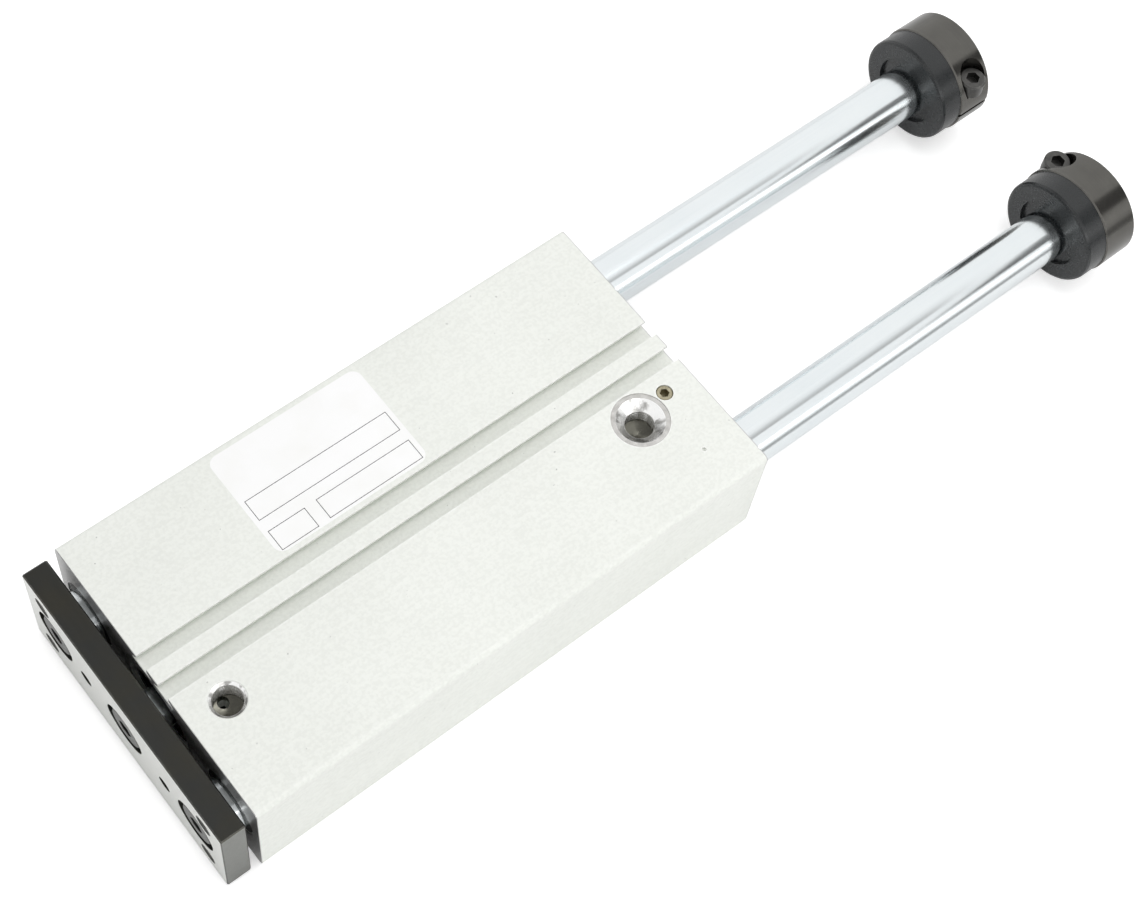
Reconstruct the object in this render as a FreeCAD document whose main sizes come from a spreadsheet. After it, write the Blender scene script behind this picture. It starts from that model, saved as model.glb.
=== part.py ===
import FreeCAD, Part
import Sketcher
import math
import os

# Guided pneumatic cylinder: an extruded housing with a bore between two guide rods, a tool plate
# on the front ends of the rods and a rubber-faced clamp collar on each rear end.
# Frame: origin at the centre of the housing's underside, +X to the collars, +Z up through the
# face with the ports. The cylinder is drawn retracted. "left" is the +Y side.

# Driving dimensions, in millimetres.
SIZES = {
    # Fits, as radial clearances.
    "seat_fit": 0.02,
    "running_fit": 0.04,
    "end_clearance": 0.2,
    # Housing.
    "side_wall": 3.5,
    "edge_radius": 1.6,
    "axis_height": 21,
    "bore_dia": 25,
    "bore_step": 1,
    "bore_chamfer": 0.5,
    "groove_pitch": 10,
    "groove_offset": 0.5,
    "groove_mouth": 5,
    "groove_floor": 8.8,
    "groove_depth": 3.7,
    "groove_web": 3.5,
    "groove_lip": 0.9,
    "groove_heel": 1.2,
    # Lengths stacked along the bore, front to rear.
    "ring_inset": 1.8,
    "ring_thickness": 1.2,
    "ring_depth": 1,
    "ring_gap": 6,
    "gland_length": 17,
    "gland_flange": 6.8,
    "washer_thickness": 1.5,
    "stroke": 125,
    "piston_length": 12.6,
    "cap_length": 9,
    "cap_flange": 5.2,
    "spigot_gap": 3,
    # Air ports, drilled passages and the holes in the underside.
    "port_offset": 3.5,
    "port_tap_dia": 8.8,
    "port_depth": 8,
    "front_port_inset": 12.3,
    "front_port_mouth": 10.9,
    "rear_port_inset": 21.4,
    "rear_port_mouth": 14.3,
    "rear_spotface_dia": 17.2,
    "spotface_depth": 0.35,
    "passage_dia": 3.3,
    "passage_offset": 0.7,
    "cross_start_inset": 3,
    "cross_start_depth": 3.4,
    "cross_end_depth": 8.5,
    "plug_inset": 10.3,
    "plug_dia": 5,
    "plug_length": 5.5,
    "plug_edge": 0.3,
    "plug_sink": 0.3,
    "plug_socket": 2.5,
    "mark_dia": 1.3,
    "mark_inset": 12.9,
    "mark_depth": 0.8,
    "foot_inset": 26.5,
    "foot_offset": 5.25,
    "foot_tap_dia": 5,
    "foot_tap_depth": 12,
    "foot_chamfer": 0.5,
    "foot_dowel_dia": 5,
    "foot_dowel_depth": 5,
    # Guide rods, bushes, bumpers and collars.
    "rod_spacing": 66,
    "guide_dia": 16,
    "rod_chamfer": 0.8,
    "bush_wall": 2,
    "bush_length": 28,
    "wiper_inset": 0.3,
    "wiper_length": 3.3,
    "collar_reserve": 7.2,
    "bumper_dia": 34.5,
    "bumper_length": 7.7,
    "bumper_recess_gap": 3.3,
    "bumper_recess_depth": 1.2,
    "bumper_edge": 1,
    "collar_dia": 35.5,
    "collar_length": 12.2,
    "collar_edge": 0.4,
    "slit_width": 1.2,
    "clamp_rim_wall": 1.65,
    "clamp_seat_height": 6.2,
    "clamp_pocket_dia": 9.6,
    "clamp_screw_dia": 5,
    "clamp_screw_length": 14,
    "clamp_head_dia": 8.5,
    "clamp_head_height": 5,
    "clamp_socket": 4,
    # Piston, piston rod and the parts on them.
    "piston_side_gap": 0.2,
    "piston_rod_dia": 12,
    "piston_web": 6.6,
    "piston_land": 1.2,
    "seal_width": 2.4,
    "seal_depth": 2.7,
    "magnet_width": 2.8,
    "magnet_depth": 2.2,
    "magnet_gap": 0.6,
    "rod_thread_dia": 8,
    "nut_flats": 13,
    "nut_height": 5,
    "nut_pocket_gap": 1.5,
    "o_ring_groove": 2.4,
    "o_ring_section": 1.5,
    "gland_wiper_length": 3,
    "rod_wiper_section": 3,
    "rod_bush_length": 8,
    "rod_bush_wall": 1.5,
    "rod_seal_length": 4,
    "rod_seal_section": 2.2,
    # Tool plate and its screws.
    "plate_gap": 3,
    "plate_thickness": 7.7,
    "plate_side_gap": 0.5,
    "plate_drop": 2.6,
    "plate_foot": 1.3,
    "plate_edge": 0.4,
    "plate_screw_pocket": 16,
    "plate_pocket_depth": 5.2,
    "plate_screw_length": 16.5,
    "plate_head_dia": 13,
    "plate_head_height": 5,
    "plate_socket": 5,
    "plate_bolt_inset_y": 8.5,
    "plate_bolt_inset_z": 6.4,
    "plate_tap_dia": 5,
    "plate_tap_chamfer": 0.8,
    "plate_dowel_inset": 14.5,
    "plate_dowel_dia": 5,
}

doc = FreeCAD.newDocument("GuidedCylinder")
sheet = doc.addObject("Spreadsheet::Sheet", "Dims")


class Size:
    """A length that carries its value and the sheet expression that gives it."""

    def __init__(self, value, text):
        self.value = value
        self.text = text

    def joined(self, sign, other, value):
        """The size that comes from this one and another, with the matching expression."""
        return Size(value, f"({self.text} {sign} {sized(other).text})")

    def __add__(self, other):
        return self.joined("+", other, self.value + sized(other).value)

    def __sub__(self, other):
        return self.joined("-", other, self.value - sized(other).value)

    def __mul__(self, other):
        return self.joined("*", other, self.value * sized(other).value)

    def __truediv__(self, other):
        return self.joined("/", other, self.value / sized(other).value)

    def __neg__(self):
        return Size(-self.value, f"(-1 * {self.text})")


def sized(number):
    """A plain number as a Size; a Size stays as it is."""
    if isinstance(number, Size):
        return number
    return Size(float(number), str(float(number)))


class Driven:
    """The sheet's cells as Sizes: d.NAME is the driving dimension called NAME."""

    def __getattr__(self, name):
        return Size(float(SIZES[name]), f"Dims.{name}")


for row, (name, value) in enumerate(SIZES.items(), 1):
    sheet.set(f"A{row}", name)
    sheet.set(f"B{row}", str(value))
    sheet.setAlias(f"B{row}", name)
d = Driven()

# Stations along X that several pieces share.
stack = d.ring_inset + d.ring_thickness + d.gland_length + d.washer_thickness + d.end_clearance
body_length = (
    stack + d.stroke + d.piston_length + d.end_clearance + d.washer_thickness
    + d.cap_length + d.ring_thickness + d.ring_inset
)
front_face = -body_length / 2
rear_face = body_length / 2
gland_front = front_face + d.ring_inset + d.ring_thickness
gland_rear = gland_front + d.gland_length
cap_rear = rear_face - d.ring_inset - d.ring_thickness
cap_front = cap_rear - d.cap_length
piston_front = gland_rear + d.washer_thickness + d.end_clearance + d.stroke
piston_rear = piston_front + d.piston_length
plate_back = front_face - d.plate_gap
plate_front = plate_back - d.plate_thickness
bumper_front = rear_face + d.stroke + d.collar_reserve
collar_front = bumper_front + d.bumper_length
collar_rear = collar_front + d.collar_length

# Sizes across the bores that several pieces share.
bore_radius = d.bore_dia / 2
seat_radius = bore_radius + d.bore_step
ring_radius = seat_radius + d.ring_depth
spigot_radius = bore_radius - d.spigot_gap
rod_radius = d.piston_rod_dia / 2
guide_radius = d.guide_dia / 2
bush_radius = guide_radius + d.bush_wall
rod_y = d.rod_spacing / 2
body_width = (rod_y + bush_radius + d.side_wall) * 2
body_height = d.axis_height + bore_radius + d.groove_web + d.groove_depth
plate_half = body_width / 2 - d.plate_side_gap
plate_top = body_height - d.plate_drop
plate_mid = (d.plate_foot + plate_top) / 2
port_y = -bore_radius - d.port_offset
passage_y = -bore_radius - d.passage_offset
clamp_offset = d.collar_dia / 2 - d.clamp_rim_wall - d.clamp_screw_dia / 2
front_port_x = front_face + d.front_port_inset
rear_port_x = rear_face - d.rear_port_inset
plug_x = rear_face - d.plug_inset

doc.recompute()


def new_body(label):
    """An empty body with its own label."""
    body = doc.addObject("PartDesign::Body", label)
    body.Label = label
    return body


def sketch_on(body, role, offset=None):
    """A sketch on one of the body's origin planes, moved by sizes in the plane's own axes."""
    sketch = body.newObject("Sketcher::SketchObject", f"{body.Name}_sketch")
    planes = [item for item in body.Origin.OriginFeatures if item.Role == role]
    sketch.AttachmentSupport = [(planes[0], "")]
    sketch.MapMode = "FlatFace"
    for axis, size in (offset or {}).items():
        sketch.setExpression(f"AttachmentOffset.Base.{axis}", sized(size).text)
    return sketch


def hold(sketch, kind, geometry, point, size):
    """Tie a point of the sketch to its origin by one driven distance."""
    if size.value == 0:
        axis = -1 if kind == "DistanceY" else -2
        sketch.addConstraint(Sketcher.Constraint("PointOnObject", geometry, point, axis))
        return
    limit = Sketcher.Constraint(kind, -1, 1, geometry, point, size.value)
    index = sketch.addConstraint(limit)
    sketch.setExpression(f"Constraints[{index}]", size.text)


def draw_polygon(sketch, points):
    """Draw a closed outline of straight edges whose corners are all driven."""
    corners = [(sized(u), sized(v)) for u, v in points]
    start = sketch.GeometryCount
    for here, there in zip(corners, corners[1:] + corners[:1]):
        first = FreeCAD.Vector(here[0].value, here[1].value, 0)
        second = FreeCAD.Vector(there[0].value, there[1].value, 0)
        sketch.addGeometry(Part.LineSegment(first, second))
    for i, (u, v) in enumerate(corners):
        after = start + (i + 1) % len(corners)
        sketch.addConstraint(Sketcher.Constraint("Coincident", start + i, 2, after, 1))
        hold(sketch, "DistanceX", start + i, 1, u)
        hold(sketch, "DistanceY", start + i, 1, v)


def draw_circle(sketch, u, v, radius):
    """Draw a circle with a driven centre and radius."""
    centre = FreeCAD.Vector(sized(u).value, sized(v).value, 0)
    circle = Part.Circle(centre, FreeCAD.Vector(0, 0, 1), radius.value)
    index = sketch.addGeometry(circle)
    hold(sketch, "DistanceX", index, 3, sized(u))
    hold(sketch, "DistanceY", index, 3, sized(v))
    limit = sketch.addConstraint(Sketcher.Constraint("Radius", index, radius.value))
    sketch.setExpression(f"Constraints[{limit}]", radius.text)


def turn(body, profile, kind="Revolution", offset=None, axis="H_Axis"):
    """Revolve a profile about a sketch axis, adding (Revolution) or cutting (Groove)."""
    sketch = sketch_on(body, "XZ_Plane", offset)
    draw_polygon(sketch, profile)
    feature = body.newObject(f"PartDesign::{kind}", f"{body.Name}_{kind.lower()}")
    feature.Profile = sketch
    feature.ReferenceAxis = (sketch, [axis])
    feature.Angle = 360
    sketch.Visibility = False
    return feature


def cut_through(body, sketch, upward, length=None):
    """Pocket a sketch along its normal (upward) or against it, to a length or right through."""
    pocket = body.newObject("PartDesign::Pocket", f"{body.Name}_pocket")
    pocket.Profile = sketch
    pocket.Reversed = upward
    pocket.Type = 1 if length is None else 0
    if length is not None:
        pocket.setExpression("Length", length.text)
    return pocket


def place(piece, x=0, y=0, z=0, turned_down=False):
    """Put a piece at driven coordinates; turned_down points its own +X axis along -Z."""
    if turned_down:
        down = FreeCAD.Rotation(FreeCAD.Vector(0, 1, 0), 90)
        piece.Placement = FreeCAD.Placement(FreeCAD.Vector(0, 0, 0), down)
    for axis, size in (("x", x), ("y", y), ("z", z)):
        piece.setExpression(f"Placement.Base.{axis}", sized(size).text)
    return piece


def turned(label, profile, x=0, y=0, z=d.axis_height):
    """A piece of revolution about an axis along X at height z and distance y."""
    body = new_body(label)
    turn(body, profile)
    return place(body, x, y, z)


def ring(label, start, end, inner, outer, y=0):
    """A plain ring or sleeve between two stations along X."""
    outline = [(start, inner), (start, outer), (end, outer), (end, inner)]
    return turned(label, outline, y=y)


def edges_where(shape, wanted):
    """Names of the shape's edges that a test accepts."""
    return [f"Edge{i}" for i, edge in enumerate(shape.Edges, 1) if wanted(edge)]


def dress(body, kind, base, edges, prop, size):
    """Fillet or chamfer the named edges of a feature."""
    feature = body.newObject(f"PartDesign::{kind}", f"{body.Name}_{kind.lower()}")
    feature.Base = (base, edges)
    feature.setExpression(prop, size.text)
    body.Tip = feature
    doc.recompute()
    return feature


def hexagon(flats):
    """Corners of a hexagon with two flats square to the second axis."""
    corner = flats / math.sqrt(3)
    side = corner / 2
    half = flats / 2
    return [(corner, 0), (side, half), (-side, half), (-corner, 0), (-side, -half), (side, -half)]


# ---- housing -----------------------------------------------------------------------------------


def bore_profile():
    """Half section of the stepped bore: mouth, ring groove, seat, bore and the same mirrored."""
    half = [
        (front_face, seat_radius + d.bore_chamfer),
        (front_face + d.bore_chamfer, seat_radius),
        (front_face + d.ring_inset, seat_radius),
        (front_face + d.ring_inset, ring_radius),
        (gland_front, ring_radius),
        (gland_front, seat_radius),
        (gland_front + d.gland_flange, seat_radius),
        (gland_front + d.gland_flange, bore_radius),
        (cap_rear - d.cap_flange, bore_radius),
        (cap_rear - d.cap_flange, seat_radius),
        (cap_rear, seat_radius),
        (cap_rear, ring_radius),
        (rear_face - d.ring_inset, ring_radius),
        (rear_face - d.ring_inset, seat_radius),
        (rear_face - d.bore_chamfer, seat_radius),
        (rear_face, seat_radius + d.bore_chamfer),
    ]
    return [(front_face, 0)] + half + [(rear_face, 0)]


def guide_bore_profile():
    """Half section of a guide bore, a straight bore with a chamfered mouth at both ends."""
    radius = bush_radius
    return [
        (front_face, 0),
        (front_face, radius + d.bore_chamfer),
        (front_face + d.bore_chamfer, radius),
        (rear_face - d.bore_chamfer, radius),
        (rear_face, radius + d.bore_chamfer),
        (rear_face, 0),
    ]


def groove_outline(centre):
    """Section of a sensor groove: narrow mouth, lips, undercut flanks, heels and a flat floor."""
    mouth = d.groove_mouth / 2
    floor = d.groove_floor / 2
    lip = body_height - d.groove_lip
    bottom = body_height - d.groove_depth
    heel = bottom + d.groove_heel
    return [
        (centre - mouth, body_height),
        (centre - mouth, lip),
        (centre - floor, heel),
        (centre - floor, bottom),
        (centre + floor, bottom),
        (centre + floor, heel),
        (centre + mouth, lip),
        (centre + mouth, body_height),
    ]


def port_profile(mouth, spotface=None):
    """Half section of a port: optional spotface, 90 degree countersink, thread bore, drill tip."""
    top = body_height
    wall = d.port_tap_dia / 2
    tip = wall / 4
    outline = []
    if spotface is not None:
        outline = [(spotface / 2, body_height), (spotface / 2, body_height - d.spotface_depth)]
        top = body_height - d.spotface_depth
    sink = mouth / 2 - wall
    floor = body_height - d.port_depth
    outline += [(mouth / 2, top), (wall, top - sink), (wall, floor), (0, floor - tip)]
    return [(0, body_height)] + outline


def drill(body, x, y, profile):
    """Cut a vertical hole of revolution whose profile is given as radius and height."""
    turn(body, profile, "Groove", {"x": x, "z": -sized(y)}, "V_Axis")


def plug_hole_profile():
    """Half section of the plug's tapped seat with the passage below it, down to the bore."""
    seat = body_height - d.plug_sink - d.plug_length
    return [
        (0, body_height),
        (d.plug_dia / 2 + d.seat_fit, body_height),
        (d.plug_dia / 2 + d.seat_fit, seat),
        (d.passage_dia / 2, seat),
        (d.passage_dia / 2, d.axis_height),
        (0, d.axis_height),
    ]


def foot_hole_profile(dia, depth):
    """Half section of a blind hole in the underside with a chamfered mouth."""
    wall = dia / 2
    return [(0, 0), (wall + d.foot_chamfer, 0), (wall, d.foot_chamfer), (wall, depth), (0, depth + wall / 2)]


def cross_drilling(body):
    """Slanted passage from the rear port's wall to the drilling under the plug."""
    mouth = (rear_port_x - d.cross_start_inset, port_y, body_height - d.cross_start_depth)
    meeting = (plug_x, passage_y, body_height - d.cross_end_depth)
    start = FreeCAD.Vector(*[size.value for size in mouth])
    end = FreeCAD.Vector(*[size.value for size in meeting])
    tool = body.newObject("PartDesign::SubtractiveCylinder", "cross_drilling")
    tool.setExpression("Radius", (d.passage_dia / 2).text)
    tool.Height = (end - start).Length
    lean = FreeCAD.Rotation(FreeCAD.Vector(0, 0, 1), end - start)
    tool.AttachmentOffset = FreeCAD.Placement(start, lean)
    planes = [item for item in body.Origin.OriginFeatures if item.Role == "XY_Plane"]
    tool.AttachmentSupport = [(planes[0], "")]
    tool.MapMode = "FlatFace"


def housing():
    """Extruded block with sensor grooves, stepped bore, guide bores, ports and mounting holes."""
    body = new_body("body_housing")
    outline = sketch_on(body, "YZ_Plane", {"z": front_face})
    half = body_width / 2
    draw_polygon(outline, [(-half, 0), (half, 0), (half, body_height), (-half, body_height)])
    block = body.newObject("PartDesign::Pad", "block")
    block.Profile = outline
    block.setExpression("Length", body_length.text)
    doc.recompute()
    long_edges = edges_where(block.Shape, lambda edge: abs(edge.tangentAt(edge.FirstParameter).x) > 0.9)
    dress(body, "Fillet", block, long_edges, "Radius", d.edge_radius)
    grooves = sketch_on(body, "YZ_Plane", {"z": front_face})
    draw_polygon(grooves, groove_outline(d.groove_offset + d.groove_pitch / 2))
    draw_polygon(grooves, groove_outline(d.groove_offset - d.groove_pitch / 2))
    cut_through(body, grooves, True)
    turn(body, bore_profile(), "Groove", {"y": d.axis_height})
    for side in (1, -1):
        turn(body, guide_bore_profile(), "Groove", {"y": d.axis_height, "z": rod_y * side})
    drill(body, front_port_x, port_y, port_profile(d.front_port_mouth))
    drill(body, rear_port_x, port_y, port_profile(d.rear_port_mouth, d.rear_spotface_dia))
    passage = sketch_on(body, "XY_Plane", {"z": body_height - d.port_depth})
    draw_circle(passage, front_port_x, passage_y, d.passage_dia / 2)
    cut_through(body, passage, False, body_height - d.port_depth - d.axis_height)
    drill(body, plug_x, passage_y, plug_hole_profile())
    cross_drilling(body)
    mark = sketch_on(body, "XY_Plane", {"z": body_height})
    draw_circle(mark, rear_face - d.mark_inset, -rod_y - d.mark_dia / 2, d.mark_dia / 2)
    cut_through(body, mark, False, d.mark_depth)
    foot_x = body_length / 2 - d.foot_inset
    foot_y = bore_radius + d.foot_offset
    for along in (foot_x, -foot_x):
        for across in (foot_y, -foot_y):
            drill(body, along, across, foot_hole_profile(d.foot_tap_dia, d.foot_tap_depth))
        drill(body, along, 0, foot_hole_profile(d.foot_dowel_dia, d.foot_dowel_depth))
    return body


def passage_plug():
    """Headless screw plug with a hexagon socket that closes the rear passage."""
    radius = d.plug_dia / 2
    body = new_body("passage_plug")
    rim = [(0, radius - d.plug_edge), (d.plug_edge, radius)]
    turn(body, [(0, 0)] + rim + [(d.plug_length, radius), (d.plug_length, 0)])
    socket = sketch_on(body, "YZ_Plane")
    draw_polygon(socket, hexagon(d.plug_socket))
    cut_through(body, socket, True, d.plug_length / 2)
    return place(body, plug_x, passage_y, body_height - d.plug_sink, turned_down=True)


# ---- gland, cap and what seals them ------------------------------------------------------------


def rod_gland():
    """Flanged gland: wiper pocket, bush bore and seal pocket inside, O-ring groove outside."""
    flange = seat_radius - d.seat_fit
    groove = gland_front + (d.gland_flange - d.o_ring_groove) / 2
    floor = seat_radius - d.o_ring_section
    wiper_end = gland_front + d.gland_wiper_length
    bush_end = wiper_end + d.rod_bush_length
    seal_start = gland_rear - d.rod_seal_length
    clear = rod_radius + d.piston_side_gap
    return turned("rod_gland", [
        (gland_front, (rod_radius + d.rod_wiper_section)),
        (gland_front, flange),
        (groove, flange),
        (groove, floor),
        (groove + d.o_ring_groove, floor),
        (groove + d.o_ring_groove, flange),
        (gland_front + d.gland_flange, flange),
        (gland_front + d.gland_flange, spigot_radius),
        (gland_rear, spigot_radius),
        (gland_rear, (rod_radius + d.rod_seal_section)),
        (seal_start, (rod_radius + d.rod_seal_section)),
        (seal_start, clear),
        (bush_end, clear),
        (bush_end, (rod_radius + d.rod_bush_wall)),
        (wiper_end, (rod_radius + d.rod_bush_wall)),
        (wiper_end, (rod_radius + d.rod_wiper_section)),
    ])


def gland_seals():
    """Wiper, bush and seal that run on the piston rod, and the washer that ends the out d.stroke."""
    inner = rod_radius + d.running_fit
    wiper_end = gland_front + d.gland_wiper_length
    bush_end = wiper_end + d.rod_bush_length
    seal_start = gland_rear - d.rod_seal_length
    washer_inner = rod_radius + d.piston_side_gap * 2
    washer_outer = spigot_radius - d.piston_side_gap
    return [
        ring("rod_wiper", gland_front, wiper_end, inner, (rod_radius + d.rod_wiper_section) - d.seat_fit),
        ring("rod_bush", wiper_end, bush_end, inner, (rod_radius + d.rod_bush_wall) - d.seat_fit),
        ring("rod_seal", seal_start, gland_rear, inner, (rod_radius + d.rod_seal_section) - d.seat_fit),
        ring("front_cushion_washer", gland_rear, gland_rear + d.washer_thickness, washer_inner, washer_outer),
    ]


def rear_cap():
    """Flanged plug of the rear end with an O-ring groove and a shallow centre recess."""
    flange_start = cap_rear - d.cap_flange
    groove = flange_start + (d.cap_flange - d.o_ring_groove) / 2
    flange = seat_radius - d.seat_fit
    floor = seat_radius - d.o_ring_section
    return turned("rear_cap", [
        (cap_front, 0),
        (cap_front, spigot_radius),
        (flange_start, spigot_radius),
        (flange_start, flange),
        (groove, flange),
        (groove, floor),
        (groove + d.o_ring_groove, floor),
        (groove + d.o_ring_groove, flange),
        (cap_rear, flange),
        (cap_rear, spigot_radius),
        (cap_rear - d.ring_thickness, spigot_radius - d.ring_thickness),
        (cap_rear - d.ring_thickness, 0),
    ])


def rear_cushion_washer():
    """Rubber washer on the cap that ends the return d.stroke."""
    outer = spigot_radius - d.piston_side_gap
    return ring("rear_cushion_washer", cap_front - d.washer_thickness, cap_front, d.rod_thread_dia / 2, outer)


def o_ring(label, centre):
    """O-ring in a flange's groove, its round section drawn with eight sides."""
    middle = seat_radius - d.o_ring_section / 2
    reach = d.o_ring_section / 2 - d.seat_fit
    corner = reach * math.tan(math.pi / 8)
    outline = [(reach, corner), (reach, -corner), (corner, -reach), (-corner, -reach)]
    outline += [(-u, -v) for u, v in outline]
    return turned(label, [(centre + u, middle + v) for u, v in outline])


def retaining_ring(label, start):
    """Snap ring in the bore's end groove, open at the bottom so that it can be squeezed."""
    inner = bore_radius - d.bore_step
    body = ring(label, start, start + d.ring_thickness, inner, ring_radius - d.seat_fit)
    opening = sketch_on(body, "YZ_Plane", {"z": start - d.ring_thickness})
    half = d.ring_gap / 2
    draw_polygon(opening, [(-half, -ring_radius * 2), (half, -ring_radius * 2), (half, 0), (-half, 0)])
    cut_through(body, opening, True)
    return body


# ---- piston and piston rod ---------------------------------------------------------------------


def piston_grooves():
    """Start, width and depth of the front seal, magnet and rear seal grooves, evenly spread."""
    front = piston_front + d.piston_land
    rear = piston_rear - d.piston_land - d.seal_width
    middle = piston_front + d.piston_length / 2 - d.magnet_width / 2
    return [
        (front, d.seal_width, d.seal_depth),
        (middle, d.magnet_width, d.magnet_depth),
        (rear, d.seal_width, d.seal_depth),
    ]


def piston():
    """Grooved piston with a through bore for the rod's thread and a pocket for its nut."""
    outer = bore_radius - d.piston_side_gap
    outline = [(piston_front, d.rod_thread_dia / 2 + d.seat_fit), (piston_front, outer)]
    for start, width, depth in piston_grooves():
        floor = bore_radius - depth
        outline += [(start, outer), (start, floor), (start + width, floor), (start + width, outer)]
    outline += [(piston_rear, outer), (piston_rear, (d.nut_flats / 2 + d.nut_pocket_gap))]
    outline += [(piston_front + d.piston_web, (d.nut_flats / 2 + d.nut_pocket_gap))]
    outline += [(piston_front + d.piston_web, d.rod_thread_dia / 2 + d.seat_fit)]
    return turned("piston", outline)


def piston_rings():
    """The two seals that run on the bore, and the sensor magnet between them."""
    made = []
    names = ("piston_seal_front", "piston_magnet", "piston_seal_rear")
    for name, (start, width, depth) in zip(names, piston_grooves()):
        gap = d.magnet_gap if name == "piston_magnet" else d.running_fit
        made.append(ring(name, start, start + width, bore_radius - depth + d.seat_fit, bore_radius - gap))
    return made


def piston_rod():
    """Rod with a tapped front end for the plate's screw and a threaded spigot for the piston."""
    radius = rod_radius
    spigot = d.rod_thread_dia / 2
    hole = d.rod_thread_dia / 2 + d.seat_fit
    spigot_end = piston_front + d.piston_web + d.nut_height
    hole_end = plate_front + d.plate_pocket_depth + d.plate_screw_length + d.end_clearance
    return turned("piston_rod", [
        (plate_back, hole),
        (plate_back, radius),
        (piston_front, radius),
        (piston_front, spigot),
        (spigot_end, spigot),
        (spigot_end, 0),
        (hole_end, 0),
        (hole_end, hole),
    ])


def piston_nut():
    """Hexagon nut that clamps the piston against the rod's shoulder."""
    body = new_body("piston_nut")
    sketch = sketch_on(body, "YZ_Plane", {"z": piston_front + d.piston_web})
    draw_polygon(sketch, hexagon(d.nut_flats))
    draw_circle(sketch, 0, 0, d.rod_thread_dia / 2 + d.seat_fit)
    pad = body.newObject("PartDesign::Pad", "nut")
    pad.Profile = sketch
    pad.setExpression("Length", d.nut_height.text)
    return place(body, 0, 0, d.axis_height)


# ---- guide rods and their bushes ---------------------------------------------------------------


def guide_rod(label, side):
    """Ground rod from the tool plate to the back of its collar, tapped at the front."""
    radius = guide_radius
    hole = d.rod_thread_dia / 2 + d.seat_fit
    hole_end = plate_front + d.plate_pocket_depth + d.plate_screw_length + d.end_clearance
    return turned(label, [
        (plate_back, hole),
        (plate_back, radius),
        (collar_rear - d.rod_chamfer, radius),
        (collar_rear, radius - d.rod_chamfer),
        (collar_rear, 0),
        (hole_end, 0),
        (hole_end, hole),
    ], y=rod_y * side)


def guide_bearings(name, side):
    """The bush and wiper at each end of one guide bore."""
    inner = guide_radius + d.running_fit
    outer = bush_radius - d.seat_fit
    y = rod_y * side
    front = front_face + d.wiper_inset
    rear = rear_face - d.wiper_inset
    inset = d.wiper_length + d.bush_length
    return [
        ring(f"guide_wiper_front_{name}", front, front + d.wiper_length, inner, outer, y),
        ring(f"guide_bush_front_{name}", front + d.wiper_length, front + inset, inner, outer, y),
        ring(f"guide_bush_rear_{name}", rear - inset, rear - d.wiper_length, inner, outer, y),
        ring(f"guide_wiper_rear_{name}", rear - d.wiper_length, rear, inner, outer, y),
    ]


# ---- bumpers, collars and their screws ---------------------------------------------------------


def stop_bumper(label, side):
    """Rubber ring with rounded rims and a shallow recess round the rod in its front face."""
    inner = guide_radius + d.seat_fit
    recess = guide_radius + d.bumper_recess_gap
    outer = d.bumper_dia / 2
    soft = d.bumper_edge * (1 - math.sqrt(0.5))
    return turned(label, [
        (bumper_front + d.bumper_recess_depth, inner),
        (bumper_front + d.bumper_recess_depth, recess),
        (bumper_front, recess),
        (bumper_front, outer - d.bumper_edge),
        (bumper_front + soft, outer - soft),
        (bumper_front + d.bumper_edge, outer),
        (collar_front, outer),
        (collar_front, inner),
    ], y=rod_y * side)


def stop_collar(label, side):
    """One-piece clamp collar: slit towards the other rod, and a screw pocket that breaks the rim."""
    inner = guide_radius + d.seat_fit
    outer = d.collar_dia / 2
    inward = -side
    body = turned(label, [
        (sized(0), inner + d.collar_edge),
        (sized(0), outer - d.collar_edge),
        (d.collar_edge, outer),
        (d.collar_length - d.collar_edge, outer),
        (d.collar_length, outer - d.collar_edge),
        (d.collar_length, inner + d.collar_edge),
        (d.collar_length - d.collar_edge, inner),
        (d.collar_edge, inner),
    ], x=collar_front, y=rod_y * side)
    slit = sketch_on(body, "YZ_Plane")
    half = d.slit_width / 2
    near = inner / 2 * inward
    far = d.collar_dia * inward
    draw_polygon(slit, [(near, -half), (near, half), (far, half), (far, -half)])
    cut_through(body, slit, True)
    centre = (d.collar_length / 2, clamp_offset * inward)
    pocket = sketch_on(body, "XY_Plane", {"z": d.clamp_seat_height})
    draw_circle(pocket, *centre, d.clamp_pocket_dia / 2)
    cut_through(body, pocket, True)
    clearance = sketch_on(body, "XY_Plane", {"z": d.clamp_seat_height})
    draw_circle(clearance, *centre, d.clamp_screw_dia / 2 + d.piston_side_gap)
    cut_through(body, clearance, False, d.clamp_seat_height)
    thread = sketch_on(body, "XY_Plane")
    draw_circle(thread, *centre, d.clamp_screw_dia / 2 + d.seat_fit)
    cut_through(body, thread, False, d.clamp_screw_length - d.clamp_seat_height + d.end_clearance)
    return body


def socket_screw(label, head_dia, head_height, dia, length, flats):
    """Cap screw along +X with its head behind the origin, and a hexagon socket in the head."""
    edge = head_height / 10
    head = head_dia / 2
    shank = dia / 2
    body = new_body(label)
    turn(body, [
        (-head_height, 0),
        (-head_height, head - edge),
        (-head_height + edge, head),
        (sized(0), head),
        (sized(0), shank),
        (length - edge, shank),
        (length, shank - edge),
        (length, 0),
    ])
    socket = sketch_on(body, "YZ_Plane", {"z": -head_height})
    draw_polygon(socket, hexagon(flats))
    cut_through(body, socket, True, head_height / 2)
    return body


def group(label, pieces):
    """Identical fasteners as one node of separate solids."""
    compound = doc.addObject("Part::Compound", label)
    compound.Label = label
    compound.Links = pieces
    return compound


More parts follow.
